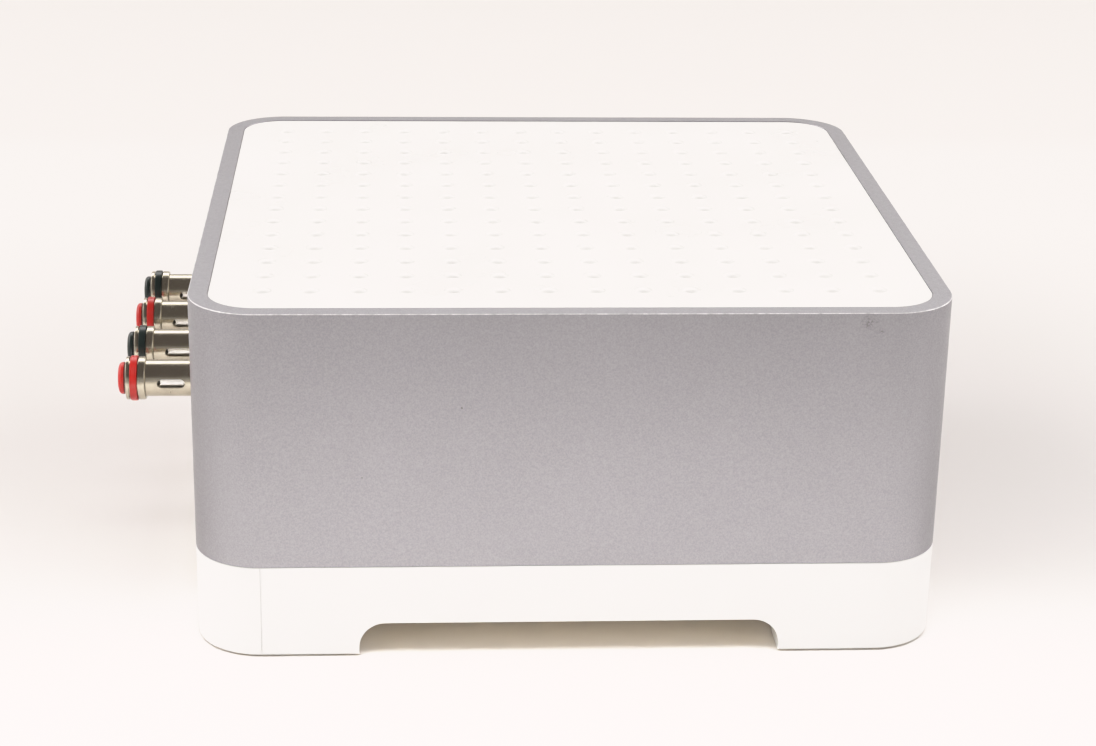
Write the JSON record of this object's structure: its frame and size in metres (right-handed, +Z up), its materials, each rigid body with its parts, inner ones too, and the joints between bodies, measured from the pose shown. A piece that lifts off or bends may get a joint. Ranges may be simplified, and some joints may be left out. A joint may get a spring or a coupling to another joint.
{
  "type": "network streaming amplifier",
  "caption": "Squat square network amplifier with an aluminium band, dotted white top, white base standing on corner feet over cross tunnels, and sprung speaker posts at the rear.",
  "frame": {"origin": "middle of the whole object's footprint, speaker posts included, on the surface it stands on", "axes": "+Z up; -Y out of the front face, where the buttons are; +Y out of the rear panel, along the speaker posts; +X to the right when looking at the front face"},
  "size_m": [0.185, 0.2074, 0.0893],
  "materials": {
    "band_aluminium": "bead-blasted and anodised, satin",
    "cover_plastic": "satin moulded white",
    "base_plastic": "satin moulded white",
    "panel_plastic": "fine texture",
    "pad_rubber": "matt",
    "screw_steel": "zinc plated",
    "spring_steel": "drawn wire",
    "post_nickel": "warm nickel plate over brass",
    "post_red": "moulded",
    "post_black": "moulded",
    "jack_steel": "tin plated",
    "connector_plastic": "moulded",
    "phono_nickel": "nickel plate",
    "pin_nickel": "nickel plate",
    "button_plastic": "satin",
    "light_plastic": "clear light pipe",
    "circuit_board": "solder mask",
    "transformer_ferrite": "ferrite and tape",
    "capacitor_sleeve": "shrunk sleeve",
    "heat_sink_aluminium": "extruded, anodised"
  },
  "bodies": {
    "housing": {"antenna_1": "circuit_board", "antenna_2": "circuit_board", "base_tray": "base_plastic", "bulk_capacitor_1": "capacitor_sleeve", "bulk_capacitor_2": "capacitor_sleeve", "button_board": "circuit_board", "case_screw_1": "screw_steel", "case_screw_2": "screw_steel", "case_screw_3": "screw_steel", "case_screw_4": "screw_steel", "foot_pad_1": "pad_rubber", "foot_pad_2": "pad_rubber", "foot_pad_3": "pad_rubber", "foot_pad_4": "pad_rubber", "heat_sink": "heat_sink_aluminium", "main_board": "circuit_board", "mains_inlet": "connector_plastic", "mains_pin_1": "pin_nickel", "mains_pin_2": "pin_nickel", "network_jack_core": "connector_plastic", "network_jack_shield": "jack_steel", "phono_jack_block": "connector_plastic", "phono_sleeve_1": "phono_nickel", "phono_sleeve_2": "phono_nickel", "phono_sleeve_3": "phono_nickel", "post_barrel_1": "post_nickel", "post_barrel_2": "post_nickel", "post_barrel_3": "post_nickel", "post_barrel_4": "post_nickel", "post_nut_1": "post_nickel", "post_nut_2": "post_nickel", "post_nut_3": "post_nickel", "post_nut_4": "post_nickel", "post_ring_1": "post_red", "post_ring_2": "post_black", "post_ring_3": "post_red", "post_ring_4": "post_black", "post_spring_1": "spring_steel", "post_spring_2": "spring_steel", "post_spring_3": "spring_steel", "post_spring_4": "spring_steel", "power_board": "circuit_board", "rear_panel": "panel_plastic", "side_band": "band_aluminium", "status_light": "light_plastic", "terminal_board": "circuit_board", "top_cover": "cover_plastic", "transformer": "transformer_ferrite", "wireless_card": "circuit_board"},
    "plunger_1": {"post_plunger_1": "post_nickel", "post_cap_1": "post_red"},
    "plunger_2": {"post_plunger_2": "post_nickel", "post_cap_2": "post_black"},
    "plunger_3": {"post_plunger_3": "post_nickel", "post_cap_3": "post_red"},
    "plunger_4": {"post_plunger_4": "post_nickel", "post_cap_4": "post_black"},
    "mute_key": {"mute_button": "button_plastic"},
    "volume_down_key": {"volume_down_button": "button_plastic"},
    "volume_up_key": {"volume_up_button": "button_plastic"}
  },
  "joints": [
    {"name": "post_1_press", "type": "slide", "parent": "housing", "child": "plunger_1", "axis": [0, -1, 0], "range_m": [0, 0.0035], "stiffness_N_per_m": 1500, "springref_m": -0.001, "deforming": ["post_spring_1"]},
    {"name": "post_2_press", "type": "slide", "parent": "housing", "child": "plunger_2", "axis": [0, -1, 0], "range_m": [0, 0.0035], "stiffness_N_per_m": 1500, "springref_m": -0.001, "deforming": ["post_spring_2"]},
    {"name": "post_3_press", "type": "slide", "parent": "housing", "child": "plunger_3", "axis": [0, -1, 0], "range_m": [0, 0.0035], "stiffness_N_per_m": 1500, "springref_m": -0.001, "deforming": ["post_spring_3"]},
    {"name": "post_4_press", "type": "slide", "parent": "housing", "child": "plunger_4", "axis": [0, -1, 0], "range_m": [0, 0.0035], "stiffness_N_per_m": 1500, "springref_m": -0.001, "deforming": ["post_spring_4"]},
    {"name": "mute_press", "type": "slide", "parent": "housing", "child": "mute_key", "axis": [0, 1, 0], "range_m": [0, 0.0006], "stiffness_N_per_m": 900, "springref_m": -0.0004},
    {"name": "volume_down_press", "type": "slide", "parent": "housing", "child": "volume_down_key", "axis": [0, 1, 0], "range_m": [0, 0.0006], "stiffness_N_per_m": 900, "springref_m": -0.0004},
    {"name": "volume_up_press", "type": "slide", "parent": "housing", "child": "volume_up_key", "axis": [0, 1, 0], "range_m": [0, 0.0006], "stiffness_N_per_m": 900, "springref_m": -0.0004}
  ]
}
